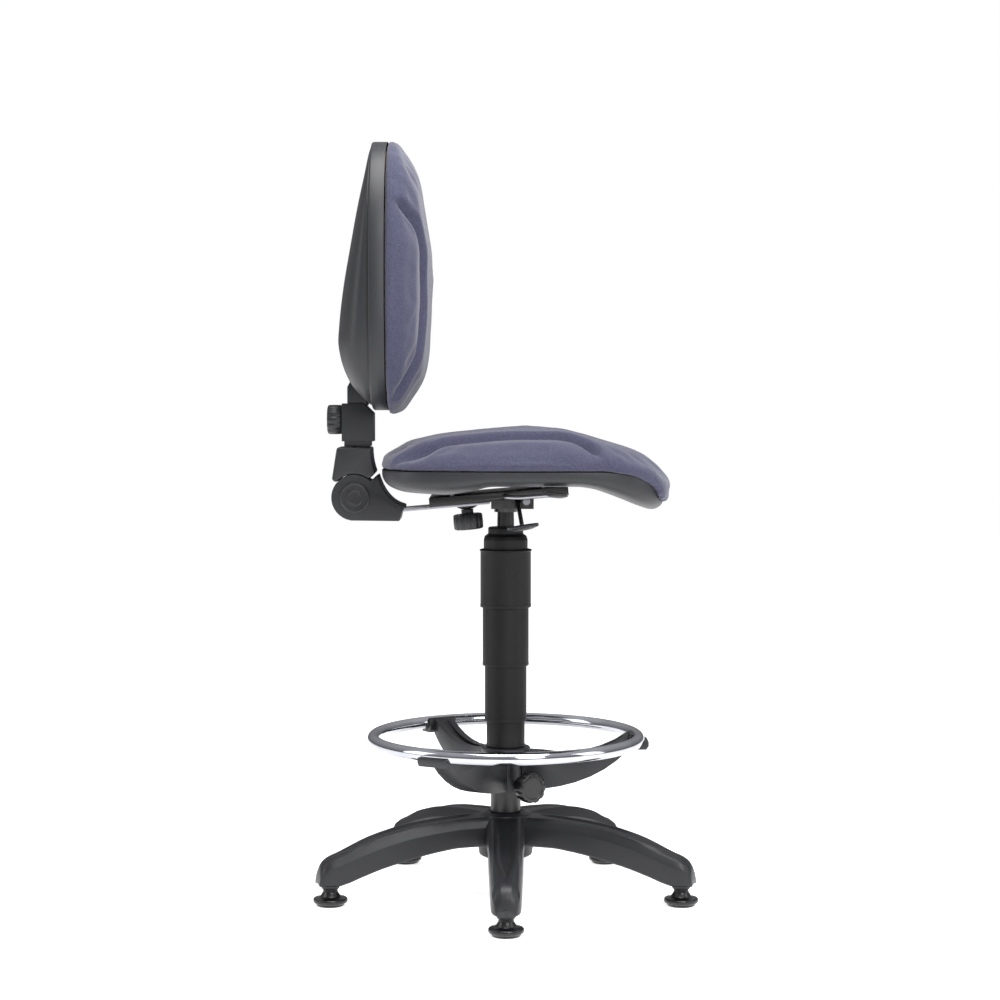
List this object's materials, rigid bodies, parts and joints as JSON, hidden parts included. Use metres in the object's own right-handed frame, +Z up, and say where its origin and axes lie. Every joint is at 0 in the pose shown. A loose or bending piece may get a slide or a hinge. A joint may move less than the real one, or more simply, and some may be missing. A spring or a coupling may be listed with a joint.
{
  "type": "drafting chair",
  "caption": "Upholstered drafting chair with a telescopic gas column, chrome foot ring, and a star base on glides; seat and backrest adjust.",
  "frame": {"origin": "on the floor, at the centre of the chair's footprint; the column axis stands 28.6 mm to +X of it, because five legs are not symmetric about both axes", "axes": "+Z up; the chair faces -Y; +X is the sitter's left"},
  "size_m": [0.5988, 0.6266, 1.242],
  "materials": {
    "black_plastic": "fine-grained black moulded plastic",
    "gloss_plastic": "smooth black plastic with a soft sheen",
    "grey_plastic": "textured charcoal moulded plastic",
    "black_steel": "black powder coat",
    "zinc_steel": "zinc-plated steel",
    "chrome": "bright chrome plate",
    "plywood": "bare moulded plywood",
    "fabric": "slate-violet woven upholstery"
  },
  "bodies": {
    "base": {"star_base": "black_plastic", "glide_1": "gloss_plastic", "glide_2": "gloss_plastic", "glide_3": "gloss_plastic", "glide_4": "gloss_plastic", "glide_5": "gloss_plastic", "glide_pin_1": "zinc_steel", "glide_pin_2": "zinc_steel", "glide_pin_3": "zinc_steel", "glide_pin_4": "zinc_steel", "glide_pin_5": "zinc_steel", "column_tube": "black_steel", "guide_bush": "grey_plastic", "piston_rod": "zinc_steel", "thrust_bearing": "zinc_steel", "rod_clip": "zinc_steel"},
    "ring": {"ring_hub": "black_plastic", "foot_ring": "chrome", "ring_clip_1": "black_plastic", "ring_clip_2": "black_plastic", "ring_clip_3": "black_plastic", "sleeve_bottom": "gloss_plastic"},
    "ring_knob": {"ring_clamp_knob": "black_plastic"},
    "lower_sleeve": {"sleeve_lower_mid": "gloss_plastic"},
    "upper_sleeve": {"sleeve_upper_mid": "gloss_plastic"},
    "lift": {"sleeve_top": "gloss_plastic", "sleeve_cap": "black_plastic"},
    "swivel": {"gas_cylinder": "black_steel", "mechanism_housing": "black_steel", "tilt_bolt": "zinc_steel"},
    "valve": {"valve_pin": "zinc_steel"},
    "height_control": {"height_lever": "black_steel", "height_lever_paddle": "black_plastic"},
    "seat": {"seat_plate": "black_steel", "seat_pan": "grey_plastic", "seat_board": "plywood", "seat_cushion": "fabric", "seat_bolt_1": "zinc_steel", "seat_bolt_2": "zinc_steel", "seat_bolt_3": "zinc_steel", "seat_bolt_4": "zinc_steel"},
    "tilt_control": {"tilt_lever": "zinc_steel", "tilt_lever_paddle": "black_plastic"},
    "depth_clamp": {"depth_knob": "black_plastic", "depth_washer": "black_steel"},
    "back_arm": {"depth_bar": "zinc_steel", "lower_cover_right": "grey_plastic", "lower_cover_left": "grey_plastic", "hinge_bolt": "zinc_steel", "hinge_cap_right": "black_plastic", "hinge_cap_left": "black_plastic"},
    "upright": {"upright_bar": "black_steel", "upright_cover_right": "grey_plastic", "upright_cover_left": "grey_plastic"},
    "backrest": {"back_slider": "black_plastic", "back_shell": "grey_plastic", "back_board": "plywood", "back_cushion": "fabric"},
    "back_clamp": {"back_knob": "black_plastic"}
  },
  "joints": [
    {"name": "seat_height", "type": "slide", "parent": "base", "child": "lift", "axis": [0, 0, 1], "range_m": [-0.195, 0]},
    {"name": "upper_sleeve_slide", "type": "slide", "parent": "base", "child": "upper_sleeve", "axis": [0, 0, 1], "range_m": [-0.13, 0]},
    {"name": "lower_sleeve_slide", "type": "slide", "parent": "base", "child": "lower_sleeve", "axis": [0, 0, 1], "range_m": [-0.04, 0]},
    {"name": "seat_swivel", "type": "hinge", "parent": "lift", "child": "swivel", "pos_m": [0.02865, 0, 0.6], "axis": [0, 0, 1], "continuous": true},
    {"name": "ring_height", "type": "slide", "parent": "base", "child": "ring", "axis": [0, 0, 1], "range_m": [-0.028, 0]},
    {"name": "ring_clamp", "type": "hinge", "parent": "ring", "child": "ring_knob", "pos_m": [-0.0389, -0.039, 0.188], "axis": [-0.866, -0.5, 0], "range_deg": [0, 360]},
    {"name": "height_lever_lift", "type": "hinge", "parent": "swivel", "child": "height_control", "pos_m": [0.00265, -0.02, 0.652], "axis": [0, 1, 0], "range_deg": [0, 5], "stiffness_Nm_per_rad": 3, "springref_deg": -2.86},
    {"name": "valve_press", "type": "slide", "parent": "swivel", "child": "valve", "axis": [0, 0, -1], "range_m": [0, 0.003]},
    {"name": "seat_tilt", "type": "hinge", "parent": "swivel", "child": "seat", "pos_m": [0.02865, -0.034, 0.655], "axis": [1, 0, 0], "range_deg": [-3, 5]},
    {"name": "tilt_lever_turn", "type": "hinge", "parent": "seat", "child": "tilt_control", "pos_m": [-0.06135, 0, 0.6653], "axis": [1, 0, 0], "range_deg": [0, 15]},
    {"name": "back_depth", "type": "slide", "parent": "seat", "child": "back_arm", "axis": [0, 0.9962, -0.0872], "range_m": [0, 0.025]},
    {"name": "depth_clamp_turn", "type": "hinge", "parent": "seat", "child": "depth_clamp", "pos_m": [0.02865, 0.06575, 0.66675], "axis": [0, -0.0872, -0.9962], "range_deg": [0, 360]},
    {"name": "back_recline", "type": "hinge", "parent": "back_arm", "child": "upright", "pos_m": [0.02865, 0.248, 0.661], "axis": [-1, 0, 0], "range_deg": [0, 20]},
    {"name": "back_height", "type": "slide", "parent": "upright", "child": "backrest", "axis": [0, 0, 1], "range_m": [0, 0.06]},
    {"name": "back_clamp_turn", "type": "hinge", "parent": "backrest", "child": "back_clamp", "pos_m": [0.02865, 0.29, 0.7885], "axis": [0, 1, 0], "range_deg": [0, 360]}
  ],
  "couplings": [
    {"joint": "upper_sleeve_slide", "follows": "seat_height", "ratio": 0.66},
    {"joint": "lower_sleeve_slide", "follows": "seat_height", "ratio": 0.2},
    {"joint": "valve_press", "follows": "height_lever_lift", "m_per_rad": 0.03}
  ]
}
